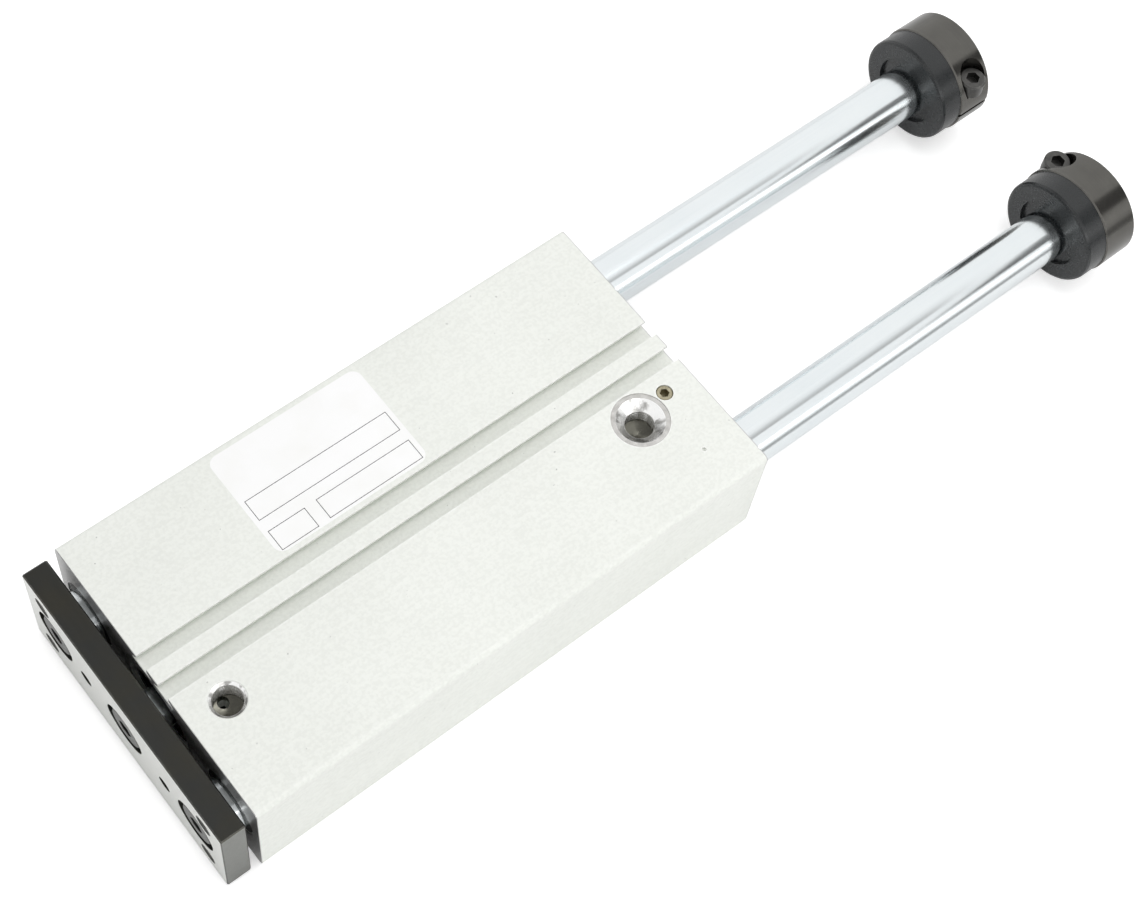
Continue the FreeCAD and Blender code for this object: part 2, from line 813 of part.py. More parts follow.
def collar_screws():
    """The two clamp screws, heads up, square to the collars' slits."""
    made = []
    for side in (1, -1):
        head = (d.clamp_head_dia, d.clamp_head_height)
        shank = (d.clamp_screw_dia, d.clamp_screw_length)
        screw = socket_screw(f"collar_screw_{len(made) + 1}", *head, *shank, d.clamp_socket)
        across = (rod_y - clamp_offset) * side
        seat = d.axis_height + d.clamp_seat_height
        made.append(place(screw, collar_front + d.collar_length / 2, across, seat, turned_down=True))
    return group("collar_screws", made)


# ---- tool plate --------------------------------------------------------------------------------


def tool_plate():
    """Steel plate with three screw pockets, four tapped holes and two dowel holes."""
    body = new_body("tool_plate")
    outline = sketch_on(body, "YZ_Plane", {"z": plate_front})
    feet = [(-plate_half, d.plate_foot), (plate_half, d.plate_foot)]
    draw_polygon(outline, feet + [(plate_half, plate_top), (-plate_half, plate_top)])
    slab = body.newObject("PartDesign::Pad", "slab")
    slab.Profile = outline
    slab.setExpression("Length", d.plate_thickness.text)
    doc.recompute()
    rim = edges_where(slab.Shape, lambda edge: True)
    dress(body, "Chamfer", slab, rim, "Size", d.plate_edge)
    pockets = sketch_on(body, "YZ_Plane", {"z": plate_front})
    holes = sketch_on(body, "YZ_Plane", {"z": plate_front})
    for side in (-1, 0, 1):
        draw_circle(pockets, rod_y * side, d.axis_height, d.plate_screw_pocket / 2)
        draw_circle(holes, rod_y * side, d.axis_height, d.rod_thread_dia / 2 + d.piston_side_gap)
    mouths = sketch_on(body, "YZ_Plane", {"z": plate_front})
    for side in (-1, 1):
        draw_circle(holes, (rod_y - d.plate_dowel_inset) * side, plate_mid, d.plate_dowel_dia / 2)
        for level in (-1, 1):
            rise = plate_top - plate_mid - d.plate_bolt_inset_z
            spot = ((plate_half - d.plate_bolt_inset_y) * side, plate_mid + rise * level)
            draw_circle(holes, *spot, d.plate_tap_dia / 2)
            draw_circle(mouths, *spot, d.plate_tap_dia / 2 + d.plate_tap_chamfer)
    cut_through(body, pockets, True, d.plate_pocket_depth)
    countersinks = cut_through(body, mouths, True, d.plate_tap_chamfer)
    countersinks.TaperAngle = -45
    cut_through(body, holes, True)
    return body


def plate_screws():
    """The three low-head screws that hold the plate to the guide rods and the piston rod."""
    made = []
    for side in (-1, 0, 1):
        head = (d.plate_head_dia, d.plate_head_height)
        shank = (d.rod_thread_dia, d.plate_screw_length)
        screw = socket_screw(f"plate_screw_{len(made) + 1}", *head, *shank, d.plate_socket)
        made.append(place(screw, plate_front + d.plate_pocket_depth, rod_y * side, d.axis_height))
    return group("plate_screws", made)


# ---- the whole ---------------------------------------------------------------------------------

gland_groove = gland_front + d.gland_flange / 2
cap_groove = cap_rear - d.cap_flange / 2
parts = [housing(), passage_plug(), rod_gland(), rear_cap(), rear_cushion_washer()]
parts += gland_seals()
parts += [o_ring("gland_o_ring", gland_groove), o_ring("rear_cap_o_ring", cap_groove)]
parts += [retaining_ring("front_retaining_ring", front_face + d.ring_inset)]
parts += [retaining_ring("rear_retaining_ring", cap_rear)]
parts += [piston(), piston_rod(), piston_nut()] + piston_rings()
for name, side in (("left", 1), ("right", -1)):
    parts += [guide_rod(f"guide_rod_{name}", side)] + guide_bearings(name, side)
    parts += [stop_bumper(f"stop_bumper_{name}", side), stop_collar(f"stop_collar_{name}", side)]
parts += [tool_plate(), plate_screws(), collar_screws()]

doc.recompute()
for item in doc.Objects:
    if "Invalid" in item.State or "Error" in item.State:
        raise RuntimeError(f"{item.Label} did not rebuild: {item.State}")
for piece in parts:
    if piece.Shape.isNull() or not piece.Shape.isValid() or piece.Shape.Volume <= 0:
        raise RuntimeError(f"{piece.Label} has no valid solid")

os.makedirs("parts", exist_ok=True)
for piece in parts:
    piece.Shape.exportStep(f"parts/{piece.Label}.step")
    box = piece.Shape.BoundBox
    print(piece.Label, len(piece.Shape.Solids), round(piece.Shape.Volume, 1),
          [round(v, 2) for v in (box.XMin, box.YMin, box.ZMin, box.XMax, box.YMax, box.ZMax)])
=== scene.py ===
"""Guided pneumatic cylinder: finishes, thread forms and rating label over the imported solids."""

import math

import bpy
import numpy as np
from mathutils import Matrix, Vector


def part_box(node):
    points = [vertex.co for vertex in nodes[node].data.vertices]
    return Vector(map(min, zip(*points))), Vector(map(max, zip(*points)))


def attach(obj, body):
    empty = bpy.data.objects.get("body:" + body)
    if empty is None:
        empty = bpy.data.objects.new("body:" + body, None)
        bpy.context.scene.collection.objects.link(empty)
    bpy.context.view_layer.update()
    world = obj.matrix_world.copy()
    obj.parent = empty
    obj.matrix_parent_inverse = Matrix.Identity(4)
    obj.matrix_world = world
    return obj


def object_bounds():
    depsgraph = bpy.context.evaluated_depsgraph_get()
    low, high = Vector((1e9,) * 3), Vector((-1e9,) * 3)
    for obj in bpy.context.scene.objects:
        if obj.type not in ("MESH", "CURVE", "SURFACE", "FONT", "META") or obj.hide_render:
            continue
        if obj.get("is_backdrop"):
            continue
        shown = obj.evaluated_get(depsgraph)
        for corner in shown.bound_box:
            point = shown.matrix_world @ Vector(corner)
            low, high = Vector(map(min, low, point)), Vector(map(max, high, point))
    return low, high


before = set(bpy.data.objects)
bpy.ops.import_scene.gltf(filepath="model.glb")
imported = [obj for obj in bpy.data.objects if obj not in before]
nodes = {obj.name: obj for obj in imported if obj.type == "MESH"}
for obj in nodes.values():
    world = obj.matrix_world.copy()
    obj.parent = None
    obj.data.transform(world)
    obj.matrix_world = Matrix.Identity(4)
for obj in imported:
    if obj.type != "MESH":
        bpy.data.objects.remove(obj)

packed_low, packed_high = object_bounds()

# ---- camera --------------------------------------------------------------------------------------
# A short telephoto view from above the front right corner, looking along the body towards the
# stop collars at the far end.

CAMERA_PLACE = Vector((-0.170134, -0.200844, 0.579916))
CAMERA_RIGHT = Vector((0.776834, -0.623171, 0.090479))
CAMERA_UP = Vector((0.522901, 0.718440, 0.458714))
CAMERA_LENS = 68.883
SENSOR_WIDTH = 36.0
CLIP_NEAR, CLIP_FAR = 0.01, 20.0

camera_data = bpy.data.cameras.new("view_camera")
camera_data.lens = CAMERA_LENS
camera_data.sensor_width = SENSOR_WIDTH
camera_data.clip_start = CLIP_NEAR
camera_data.clip_end = CLIP_FAR
camera = bpy.data.objects.new("view_camera", camera_data)
bpy.context.scene.collection.objects.link(camera)
camera_axes = Matrix((CAMERA_RIGHT, CAMERA_UP, CAMERA_RIGHT.cross(CAMERA_UP))).transposed()
camera.matrix_world = Matrix.Translation(CAMERA_PLACE) @ camera_axes.to_4x4()
bpy.context.scene.camera = camera
bpy.context.scene.view_settings.view_transform = "Standard"

# ---- studio --------------------------------------------------------------------------------------
# White paper in a bright room, with a square lamp overhead and a long low lamp on the right. Four
# grey cards, seen only in reflections, give bright metal something darker to mirror.

WHITE = (1, 1, 1, 1)
PAPER = (0.93, 0.93, 0.93, 1)
PAPER_GLOW = 0.42
PAPER_CENTRE_X = 0.07
PAPER_HALF_SIDE = 3.0
PAPER_DROP = 0.0002
ROOM_LIGHT = 0.80
KEY_LAMP = {
    "place": (0.17, -0.12, 0.85), "target": (0.17, -0.12, 0), "size": (0.4, 0.4), "watts": 1.66,
}
LOW_LAMP = {
    "place": (0.15, -0.62, 0.27), "target": (0.15, 0, 0.02), "size": (0.9, 0.10), "watts": 0.62,
}

# Each card: its greys at its two ends, its centre, and half of each of its sides.
CARDS = {
    "ceiling_card": ((0.30, 0.30), (-0.16, 0.08, 0.62), (0.34, 0, 0), (0, 0.52, 0)),
    "rod_card": ((0.34, 1.0), (0.22, -0.072, 0.29), (0.11, 0, 0), (0, 0.070, 0)),
    "collar_card": ((0.10, 0.14), (0.478, -0.25, 0.29), (0.085, 0, 0), (0, 0.114, 0)),
    "table_card": ((0.32, 0.40), (0.35, -0.475, 0.051), (0.35, 0, 0), (0, 0.275, -0.049)),
}


def put(tree, kind, wires=(), **settings):
    """Adds a node to tree. wires gives, by input name or number, a value or another node's
    output."""
    made = tree.nodes.new(kind)
    for name, value in settings.items():
        setattr(made, name, value)
    for name, value in dict(wires).items():
        if isinstance(value, bpy.types.NodeSocket):
            tree.links.new(value, made.inputs[name])
        else:
            made.inputs[name].default_value = value
    return made


def maths(tree, first, second, operation="ADD", clamp=False):
    """Result of one operation on two numbers; clamp keeps it from 0 to 1."""
    settings = {"operation": operation, "use_clamp": clamp}
    return put(tree, "ShaderNodeMath", {0: first, 1: second}, **settings).outputs[0]


def ranged(tree, value, low, high, start=0.0, stop=1.0):
    """Number that goes from low to high as value goes from start to stop, and no further."""
    wires = {"Value": value, "From Min": start, "From Max": stop, "To Min": low, "To Max": high}
    return put(tree, "ShaderNodeMapRange", wires).outputs[0]


def here(tree):
    """The shaded point in metres."""
    return put(tree, "ShaderNodeTexCoord").outputs["Object"]


def grid_mesh(name, points, closed_u=False, closed_v=False):
    """Mesh of a surface given as an array (rows, columns, 3). Rows run along u, columns along v,
    and every cell is one four-sided face; a closed direction joins its last line to its first."""
    rows, columns = points.shape[:2]
    index = np.arange(rows * columns).reshape(rows, columns)
    if closed_u:
        index = np.vstack([index, index[:1]])
    if closed_v:
        index = np.hstack([index, index[:, :1]])
    cells = np.stack([index[:-1, :-1], index[1:, :-1], index[1:, 1:], index[:-1, 1:]], axis=-1)
    mesh = bpy.data.meshes.new(name)
    mesh.from_pydata(points.reshape(-1, 3).tolist(), [], cells.reshape(-1, 4).tolist())
    mesh.polygons.foreach_set("use_smooth", np.ones(len(mesh.polygons), bool))
    mesh.update()
    return mesh


def shown(name, mesh):
    """Puts a mesh into the scene as an object at the origin."""
    made = bpy.data.objects.new(name, mesh)
    bpy.context.scene.collection.objects.link(made)
    return made


def flat_sheet(name, centre, across, along):
    """Flat rectangle about a centre: the point at (s, t) is centre + s*across + t*along, s and t
    from -1 to 1."""
    s, t = np.meshgrid(np.linspace(-1, 1, 2), np.linspace(-1, 1, 2), indexing="ij")
    points = np.array(centre) + s[..., None] * np.array(across) + t[..., None] * np.array(along)
    return shown(name, grid_mesh(name, points))


def new_material(name):
    """Material with an empty tree; gives the material and its tree."""
    material = bpy.data.materials.new(name)
    material.use_nodes = True
    material.node_tree.nodes.clear()
    return material, material.node_tree


paper, tree = new_material("white_paper")
rays = put(tree, "ShaderNodeLightPath")
matt = put(tree, "ShaderNodeBsdfDiffuse", {"Color": PAPER})
seen = maths(tree, rays.outputs["Is Camera Ray"], PAPER_GLOW, "MULTIPLY")
glow = put(tree, "ShaderNodeEmission", {"Color": WHITE, "Strength": seen})
both = put(tree, "ShaderNodeAddShader", {0: matt.outputs[0], 1: glow.outputs[0]})
put(tree, "ShaderNodeOutputMaterial", {"Surface": both.outputs[0]})
floor = flat_sheet("paper", (PAPER_CENTRE_X, 0, packed_low.z - PAPER_DROP),
                   (PAPER_HALF_SIDE, 0, 0), (0, PAPER_HALF_SIDE, 0))
floor.data.materials.append(paper)
floor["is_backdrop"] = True


def grey_card(name, greys, centre, across, along):
    """Card seen only in reflections; its grey goes from the first to the second value as Y goes
    from one end of its second direction to the other."""
    card = flat_sheet(name, centre, across, along)
    finish, tree = new_material(name)
    y = put(tree, "ShaderNodeSeparateXYZ", {0: here(tree)}).outputs["Y"]
    grey = ranged(tree, y, *greys, start=centre[1] - along[1], stop=centre[1] + along[1])
    glow = put(tree, "ShaderNodeEmission", {"Color": grey, "Strength": 1.0})
    put(tree, "ShaderNodeOutputMaterial", {"Surface": glow.outputs[0]})
    card.data.materials.append(finish)
    card.visible_camera = card.visible_diffuse = False
    card.visible_shadow = card.visible_transmission = False
    card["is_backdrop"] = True


for name, measures in CARDS.items():
    grey_card(name, *measures)

# The room is plain white where it is seen or mirrored, and ROOM_LIGHT where it lights a surface.
room = bpy.data.worlds.new("room")
bpy.context.scene.world = room
room.use_nodes = True
tree = room.node_tree
tree.nodes.clear()
rays = put(tree, "ShaderNodeLightPath")
plain = maths(tree, rays.outputs["Is Camera Ray"], rays.outputs["Is Glossy Ray"])
plain = maths(tree, plain, rays.outputs["Is Transmission Ray"], clamp=True)
level = ranged(tree, plain, ROOM_LIGHT, 1.0)
sky = put(tree, "ShaderNodeBackground", {"Color": WHITE, "Strength": level})
put(tree, "ShaderNodeOutputWorld", {"Surface": sky.outputs[0]})


def soft_lamp(name, place, target, size, watts):
    """Oblong lamp of white light at place, facing target; size is its length along X and height."""
    data = bpy.data.lights.new(name, "AREA")
    data.shape = "RECTANGLE"
    data.size, data.size_y = size
    data.energy = watts
    lamp = bpy.data.objects.new(name, data)
    bpy.context.scene.collection.objects.link(lamp)
    lamp.location = place
    lamp.rotation_euler = (Vector(target) - Vector(place)).to_track_quat("-Z", "Y").to_euler()


soft_lamp("key_lamp", **KEY_LAMP)
soft_lamp("low_lamp", **LOW_LAMP)

# ---- housing -------------------------------------------------------------------------------------
# The body is one length of extruded aluminium, milled and bored, then clear anodised all over to
# a satin, nearly white skin. The ports and both ends are cut after anodising, so they show bare
# metal.

MM = 0.001
ANODISED = (0.875, 0.892, 0.848, 1)
ANODISED_DULL = (0.770, 0.786, 0.742, 1)
ANODISED_ROUGH = (0.42, 0.56)
ANODISED_METALLIC = 0.08
ANODISED_GRAIN_DEPTH = 0.02 * MM
DULL_BY_GRAIN, DULL_BY_TONE, DULL_BY_MOTTLE = 0.33, 0.33, 0.40
EDGE_WORN = (0.985, 0.985, 0.975, 1)
SCUFF_DARK = (0.45, 0.45, 0.43, 1)
FACED_END = (0.50, 0.50, 0.495, 1)
FACED_METALLIC = 0.72
FACED_SMOOTHER = 0.18
FACED_SKIN = 0.2 * MM
BARE_ALUMINIUM = (0.93, 0.93, 0.92, 1)
BARE_SMOOTHER = 0.26
DRAGGED = (0.30, 0.295, 0.28, 1)
SPOTFACE = (0.50, 0.49, 0.47, 1)
SPOTFACE_PALE = (0.68, 0.67, 0.65, 1)
DRILLED_FLOOR = (0.20, 0.195, 0.165, 1)
PORT_FRONT = (-74.2 * MM, -16.0 * MM)
PORT_REAR = (65.1 * MM, -16.0 * MM)
PORT_WALL = 4.40 * MM
PORT_COUNTERSINK_FRONT = PORT_WALL + 1.1 * MM
PORT_COUNTERSINK_REAR = 7.18 * MM
PORT_SPOTFACE_REAR = 8.65 * MM
PORT_SKIN = 0.32 * MM
PORT_FLOOR = 32.75 * MM
PORT_LOWEST = 30.0 * MM


def vector_maths(tree, operation, *vectors):
    """Result of one operation on vectors: a number where the operation gives one, else a
    vector."""
    made = put(tree, "ShaderNodeVectorMath", dict(enumerate(vectors)), operation=operation)
    numeric = operation in ("DOT_PRODUCT", "DISTANCE", "LENGTH")
    return made.outputs["Value" if numeric else "Vector"]


def noise(tree, scale, detail, place=None):
    """Soft noise from 0 to 1, with scale in cells per metre, read at the shaded point or at
    place."""
    place = here(tree) if place is None else place
    wires = {"Vector": place, "Scale": scale, "Detail": detail}
    return put(tree, "ShaderNodeTexNoise", wires).outputs[0]


def contrasted(tree, value, contrast):
    """Value drawn apart about one half by contrast, and kept from 0 to 1."""
    wires = {0: maths(tree, value, 0.5, "SUBTRACT"), 1: contrast, 2: 0.5}
    settings = {"operation": "MULTIPLY_ADD", "use_clamp": True}
    return put(tree, "ShaderNodeMath", wires, **settings).outputs[0]


def new_group(name, inputs, outputs):
    """Shader node group with the named sockets; gives its tree and its two end nodes."""
    group = bpy.data.node_groups.new(name, "ShaderNodeTree")
    for label, kind, default in inputs:
        socket = group.interface.new_socket(name=label, in_out="INPUT", socket_type=kind)
        socket.default_value = default
    for label, kind in outputs:
        group.interface.new_socket(name=label, in_out="OUTPUT", socket_type=kind)
    return group, put(group, "NodeGroupInput"), put(group, "NodeGroupOutput")


def finish_outputs(group, end, wires):
    """Joins a group's results to its output node."""
    for name, value in wires.items():
        group.links.new(value, end.inputs[name])


VECTOR, VALUE = "NodeSocketVector", "NodeSocketFloat"

# Streaks: noise drawn out along one axis, by scaling the coordinates before it is read. The stretch
# is the noise's scale on each axis, in cells per metre.
streaks, begin, end = new_group(
    "drawn_streaks",
    [("Stretch", VECTOR, (40, 2500, 2500)), ("Contrast", VALUE, 1.0)],
    [("Mask", VALUE)],
)
drawn = vector_maths(streaks, "MULTIPLY", here(streaks), begin.outputs["Stretch"])
lines = contrasted(streaks, noise(streaks, 1.0, 3.0, drawn), begin.outputs["Contrast"])
finish_outputs(streaks, end, {"Mask": lines})

# Patches: soft noise of two sizes, for uneven tone from handling and from the finish itself. The
# broad one goes from 0 to 1 as its noise goes from Low to High.
patches, begin, end = new_group(
    "uneven_patches",
    [("Scale", VALUE, 30.0), ("Fine scale", VALUE, 400.0),
     ("Low", VALUE, 0.35), ("High", VALUE, 0.65)],
    [("Mask", VALUE), ("Fine", VALUE)],
)
broad = noise(patches, begin.outputs["Scale"], 4.0)
clouds = ranged(patches, broad, 0, 1, start=begin.outputs["Low"], stop=begin.outputs["High"])
fine = noise(patches, begin.outputs["Fine scale"], 2.0)
finish_outputs(patches, end, {"Mask": clouds, "Fine": fine})

# Rubbed edges: where the surface's rounded normal leaves its flat one, broken up by fine noise.
rubbed, begin, end = new_group(
    "rubbed_edges",
    [("Width", VALUE, 0.0004), ("Amount", VALUE, 1.0)],
    [("Mask", VALUE)],
)
soft = put(rubbed, "ShaderNodeBevel", {"Radius": begin.outputs["Width"]}, samples=4).outputs[0]
hard = put(rubbed, "ShaderNodeNewGeometry").outputs["Normal"]
away = ranged(rubbed, vector_maths(rubbed, "DOT_PRODUCT", soft, hard), 0, 1, start=0.995, stop=0.85)
broken = ranged(rubbed, noise(rubbed, 900.0, 3.0), 0, 1, start=0.35, stop=0.6)
worn = maths(rubbed, away, broken, "MULTIPLY")
amount = maths(rubbed, worn, begin.outputs["Amount"], "MULTIPLY", clamp=True)
finish_outputs(rubbed, end, {"Mask": amount})

# Inside a round hole: one where the point lies within Radius of an upright axis, else nothing.
holes, begin, end = new_group(
    "within_hole",
    [("Axis", VECTOR, (0, 0, 0)), ("Radius", VALUE, 0.005)],
    [("Mask", VALUE)],
)
levelled = vector_maths(holes, "MULTIPLY", here(holes), (1, 1, 0))
apart = vector_maths(holes, "DISTANCE", levelled, begin.outputs["Axis"])
finish_outputs(holes, end, {"Mask": maths(holes, apart, begin.outputs["Radius"], "LESS_THAN")})


def grouped(tree, group, **values):
    """Places a group in a material; underscores in a value's name stand for spaces."""
    made = put(tree, "ShaderNodeGroup", node_tree=group)
    for name, value in values.items():
        made.inputs[name.replace("_", " ")].default_value = value
    return made


def blended(tree, factor, low, high):
    """Colour between low and high by factor; either may be a colour or another node's output."""
    return put(tree, "ShaderNodeMix", {0: factor, 6: low, 7: high}, data_type="RGBA").outputs[2]


def bumped(tree, height, distance):
    """Surface normal raised by a height value; distance is the height's full travel in metres."""
    wires = {"Height": height, "Distance": distance, "Strength": 1.0}
    return put(tree, "ShaderNodeBump", wires).outputs[0]


def new_finish(name, wires):
    """Material with one Principled surface; gives the material, its tree and its surface node."""
    material, tree = new_material(name)
    surface = put(tree, "ShaderNodeBsdfPrincipled", wires)
    put(tree, "ShaderNodeOutputMaterial", {"Surface": surface.outputs[0]})
    return material, tree, surface


def wire(tree, surface, **outputs):
    """Joins outputs to the surface's sockets; underscores in a name stand for spaces."""
    for name, value in outputs.items():
        tree.links.new(value, surface.inputs[name.replace("_", " ")])


def dress(finish, *names):
    """Gives a finish to CAD nodes, in every material slot they have."""
    for name in names:
        item = nodes[name]
        if not item.material_slots:
            item.data.materials.append(finish)
        for slot in item.material_slots:
            slot.material = finish


anodised, tree, surface = new_finish("clear_anodised", {"IOR": 1.5, "Specular IOR Level": 0.4})
place = put(tree, "ShaderNodeSeparateXYZ", {0: here(tree)})

# The skin, dulled in streaks and patches, brighter at its edges and with a few dark scuffs.
grain = grouped(tree, streaks, Stretch=(25, 1500, 1500), Contrast=1.6)
tone = grouped(tree, patches, Scale=28.0, Fine_scale=1000.0, Low=0.3, High=0.7)
edges = grouped(tree, rubbed, Width=0.8 * MM, Amount=1.0)
by_grain = ranged(tree, grain.outputs[0], 0, DULL_BY_GRAIN)
by_tone = ranged(tree, tone.outputs["Mask"], 0, DULL_BY_TONE)
by_mottle = ranged(tree, tone.outputs["Fine"], 0, DULL_BY_MOTTLE, start=0.42, stop=0.60)
dulled = maths(tree, maths(tree, by_grain, by_tone), by_mottle)
skin = blended(tree, dulled, ANODISED, ANODISED_DULL)
skin = blended(tree, edges.outputs[0], skin, EDGE_WORN)
scuffs = ranged(tree, noise(tree, 700.0, 1.0), 0, 0.8, start=0.795, stop=0.82)
skin = blended(tree, scuffs, skin, SCUFF_DARK)

# The ports: walls with drag marks, a spotface round the rear one, and dark drilled floors.
front_hole = grouped(tree, holes, Axis=(*PORT_FRONT, 0), Radius=PORT_COUNTERSINK_FRONT)
rear_hole = grouped(tree, holes, Axis=(*PORT_REAR, 0), Radius=PORT_SPOTFACE_REAR)
in_ports = maths(tree, front_hole.outputs[0], rear_hole.outputs[0], "MAXIMUM")
below_top = maths(tree, place.outputs["Z"], packed_high.z - PORT_SKIN, "LESS_THAN")
above_bores = maths(tree, place.outputs["Z"], PORT_LOWEST, "GREATER_THAN")
bare = maths(tree, maths(tree, in_ports, below_top, "MULTIPLY"), above_bores, "MULTIPLY")
drags = grouped(tree, streaks, Stretch=(260, 260, 10), Contrast=4.0)
dragged = ranged(tree, drags.outputs[0], 0, 0.8, start=0.62, stop=0.95)
metal = blended(tree, dragged, BARE_ALUMINIUM, DRAGGED)
countersink = grouped(tree, holes, Axis=(*PORT_REAR, 0), Radius=PORT_COUNTERSINK_REAR)
on_spotface = maths(tree, rear_hole.outputs[0], countersink.outputs[0], "SUBTRACT")
spotface_tone = grouped(tree, patches, Scale=400.0, Fine_scale=2500.0, Low=0.3, High=0.7)
spotface = blended(tree, spotface_tone.outputs["Mask"], SPOTFACE, SPOTFACE_PALE)
metal = blended(tree, on_spotface, metal, spotface)
on_floor = maths(tree, place.outputs["Z"], PORT_FLOOR, "LESS_THAN")
metal = blended(tree, on_floor, metal, DRILLED_FLOOR)

# The two ends, faced with a milling cutter.
packed_front, packed_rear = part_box("body_housing")[0].x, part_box("body_housing")[1].x
front_end = maths(tree, place.outputs["X"], packed_front + FACED_SKIN, "LESS_THAN")
rear_end = maths(tree, place.outputs["X"], packed_rear - FACED_SKIN, "GREATER_THAN")
faced = maths(tree, front_end, rear_end)

colour = blended(tree, faced, blended(tree, bare, skin, metal), FACED_END)
smoother = maths(tree, ranged(tree, bare, 0, BARE_SMOOTHER), ranged(tree, faced, 0, FACED_SMOOTHER))
rough = maths(tree, ranged(tree, grain.outputs[0], *ANODISED_ROUGH), smoother, "SUBTRACT")
in_ports_metallic = ranged(tree, bare, ANODISED_METALLIC, 1.0)
metallic = maths(tree, in_ports_metallic, ranged(tree, faced, 0, FACED_METALLIC))
fine_height = ranged(tree, tone.outputs["Fine"], 0, 0.4)
height = maths(tree, ranged(tree, grain.outputs[0], 0, 0.6), fine_height)
wire(tree, surface, Base_Color=colour, Roughness=rough, Metallic=metallic,
     Normal=bumped(tree, height, ANODISED_GRAIN_DEPTH))
dress(anodised, "body_housing")

# ---- port threads --------------------------------------------------------------------------------
# Both air ports are tapped for a parallel pipe fitting. The solids have plain walls, so the thread
# is a sleeve on each wall: bare aluminium as the tap leaves it.

PIPE_PITCH = 0.907 * MM
PIPE_ROOT_GAP = 0.07 * MM
PIPE_CREST = 0.24 * MM
PORT_THREAD_START_FRONT, PORT_THREAD_FRONT = 1.05 * MM, 6.7 * MM
PORT_THREAD_START_REAR, PORT_THREAD_REAR = 3.1 * MM, 4.7 * MM
STEPS_PER_PITCH = 8
STEPS_AROUND = 56
CUT_DEPTH = 0.004 * MM
CUT_ROUGHER = 1.6


def thread_sleeve(name, mouth, inward, radius, length, pitch, root_gap, crest):
    """Closed sleeve on the wall of a hole, with a helical inner side. At depth h and turn t from
    0 to 1 the inner radius is radius - root_gap - crest * tooth * fade, where
    tooth = clip(1.5 - 4 * |(h / pitch - t) mod 1 - 0.5|, 0, 1), a wave with flat tops and roots,
    fade = clip(min(h, length - h) / (pitch / 2), 0, 1), which ends it softly.
    The outer side is a plain cylinder on the wall. The profile runs down the inside and back up
    the outside."""
    steps = int(round(length / pitch * STEPS_PER_PITCH))
    h = np.linspace(0, length, steps)[:, None]
    turn = np.linspace(0, 1, STEPS_AROUND, endpoint=False)[None, :]
    phase = (h / pitch - turn) % 1.0
    tooth = np.clip(1.5 - np.abs(phase - 0.5) * 4, 0, 1)
    fade = np.clip(np.minimum(h, length - h) / (pitch * 0.5), 0, 1)
    inner = radius - root_gap - crest * tooth * fade
    outer = np.full((2, turn.size), radius)
    radii = np.vstack([inner, outer])
    outer_heights = np.array([[length], [0.0]]) + np.zeros((2, turn.size))
    heights = np.vstack([np.broadcast_to(h, inner.shape), outer_heights])
    axis = np.array(inward, float)
    first = np.cross(axis, (0, 0, 1.0)) if abs(axis[2]) < 0.5 else np.array((1.0, 0, 0))
    second = np.cross(axis, first)
    angle = turn[..., None] * math.tau
    points = np.array(mouth) + heights[..., None] * axis
    points = points + radii[..., None] * (np.cos(angle) * first + np.sin(angle) * second)
    return shown(name, grid_mesh(name, points, closed_u=True, closed_v=True))


def cut_metal(name, colour, dull, rough, drag):
    """Bare metal as a tool leaves it: dark drag marks down the hole and a little tarnish."""
    made, tree, surface = new_finish(name, {"Metallic": 1.0})
    marks = grouped(tree, streaks, Stretch=drag, Contrast=3.5)
    tone = grouped(tree, patches, Scale=300.0, Fine_scale=2500.0, Low=0.35, High=0.65)
    by_marks = ranged(tree, marks.outputs[0], 0, 0.8)
    dulled = maths(tree, by_marks, ranged(tree, tone.outputs["Mask"], 0, 0.2))
    wire(tree, surface, Base_Color=blended(tree, dulled, colour, dull),
         Roughness=ranged(tree, dulled, rough, rough * CUT_ROUGHER),
         Normal=bumped(tree, marks.outputs[0], CUT_DEPTH))
    return made


cut_aluminium = cut_metal("cut_aluminium", colour=BARE_ALUMINIUM, dull=(0.46, 0.45, 0.42, 1),
                          rough=0.20, drag=(500, 500, 25))
for name, (x, y), start, length in (
    ("port_thread_front", PORT_FRONT, PORT_THREAD_START_FRONT, PORT_THREAD_FRONT),
    ("port_thread_rear", PORT_REAR, PORT_THREAD_START_REAR, PORT_THREAD_REAR),
):
    thread = thread_sleeve(name, (x, y, packed_high.z - start), (0, 0, -1), PORT_WALL, length,
                           PIPE_PITCH, PIPE_ROOT_GAP, PIPE_CREST)
    thread.data.materials.append(cut_aluminium)
    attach(thread, "housing")

# ---- underside threads ---------------------------------------------------------------------------
# Four blind holes in the underside are tapped M6 to bolt the body down. Their threads are sleeves
# of the same kind, opening downwards.

METRIC_PITCH = 1.0 * MM
METRIC_ROOT_GAP = 0.05 * MM
METRIC_CREST = 0.26 * MM
TAPPED_RADIUS = 2.5 * MM
FOOT_X, FOOT_Y = 60.0 * MM, 17.75 * MM
FOOT_THREAD_START, FOOT_THREAD = 0.6 * MM, 10.5 * MM
CORNERS = ((1, 1), (1, -1), (-1, -1), (-1, 1))

for number, (side_x, side_y) in enumerate(CORNERS, start=1):
    mouth = (FOOT_X * side_x, FOOT_Y * side_y, packed_low.z + FOOT_THREAD_START)
    thread = thread_sleeve(f"foot_thread_{number}", mouth, (0, 0, 1), TAPPED_RADIUS, FOOT_THREAD,
                           METRIC_PITCH, METRIC_ROOT_GAP, METRIC_CREST)
    thread.data.materials.append(cut_aluminium)
    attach(thread, "housing")

# ---- passage plug --------------------------------------------------------------------------------
# A small brass socket plug, screwed in below the surface beside the rear port, that closes the end
# of the drilled air passage.

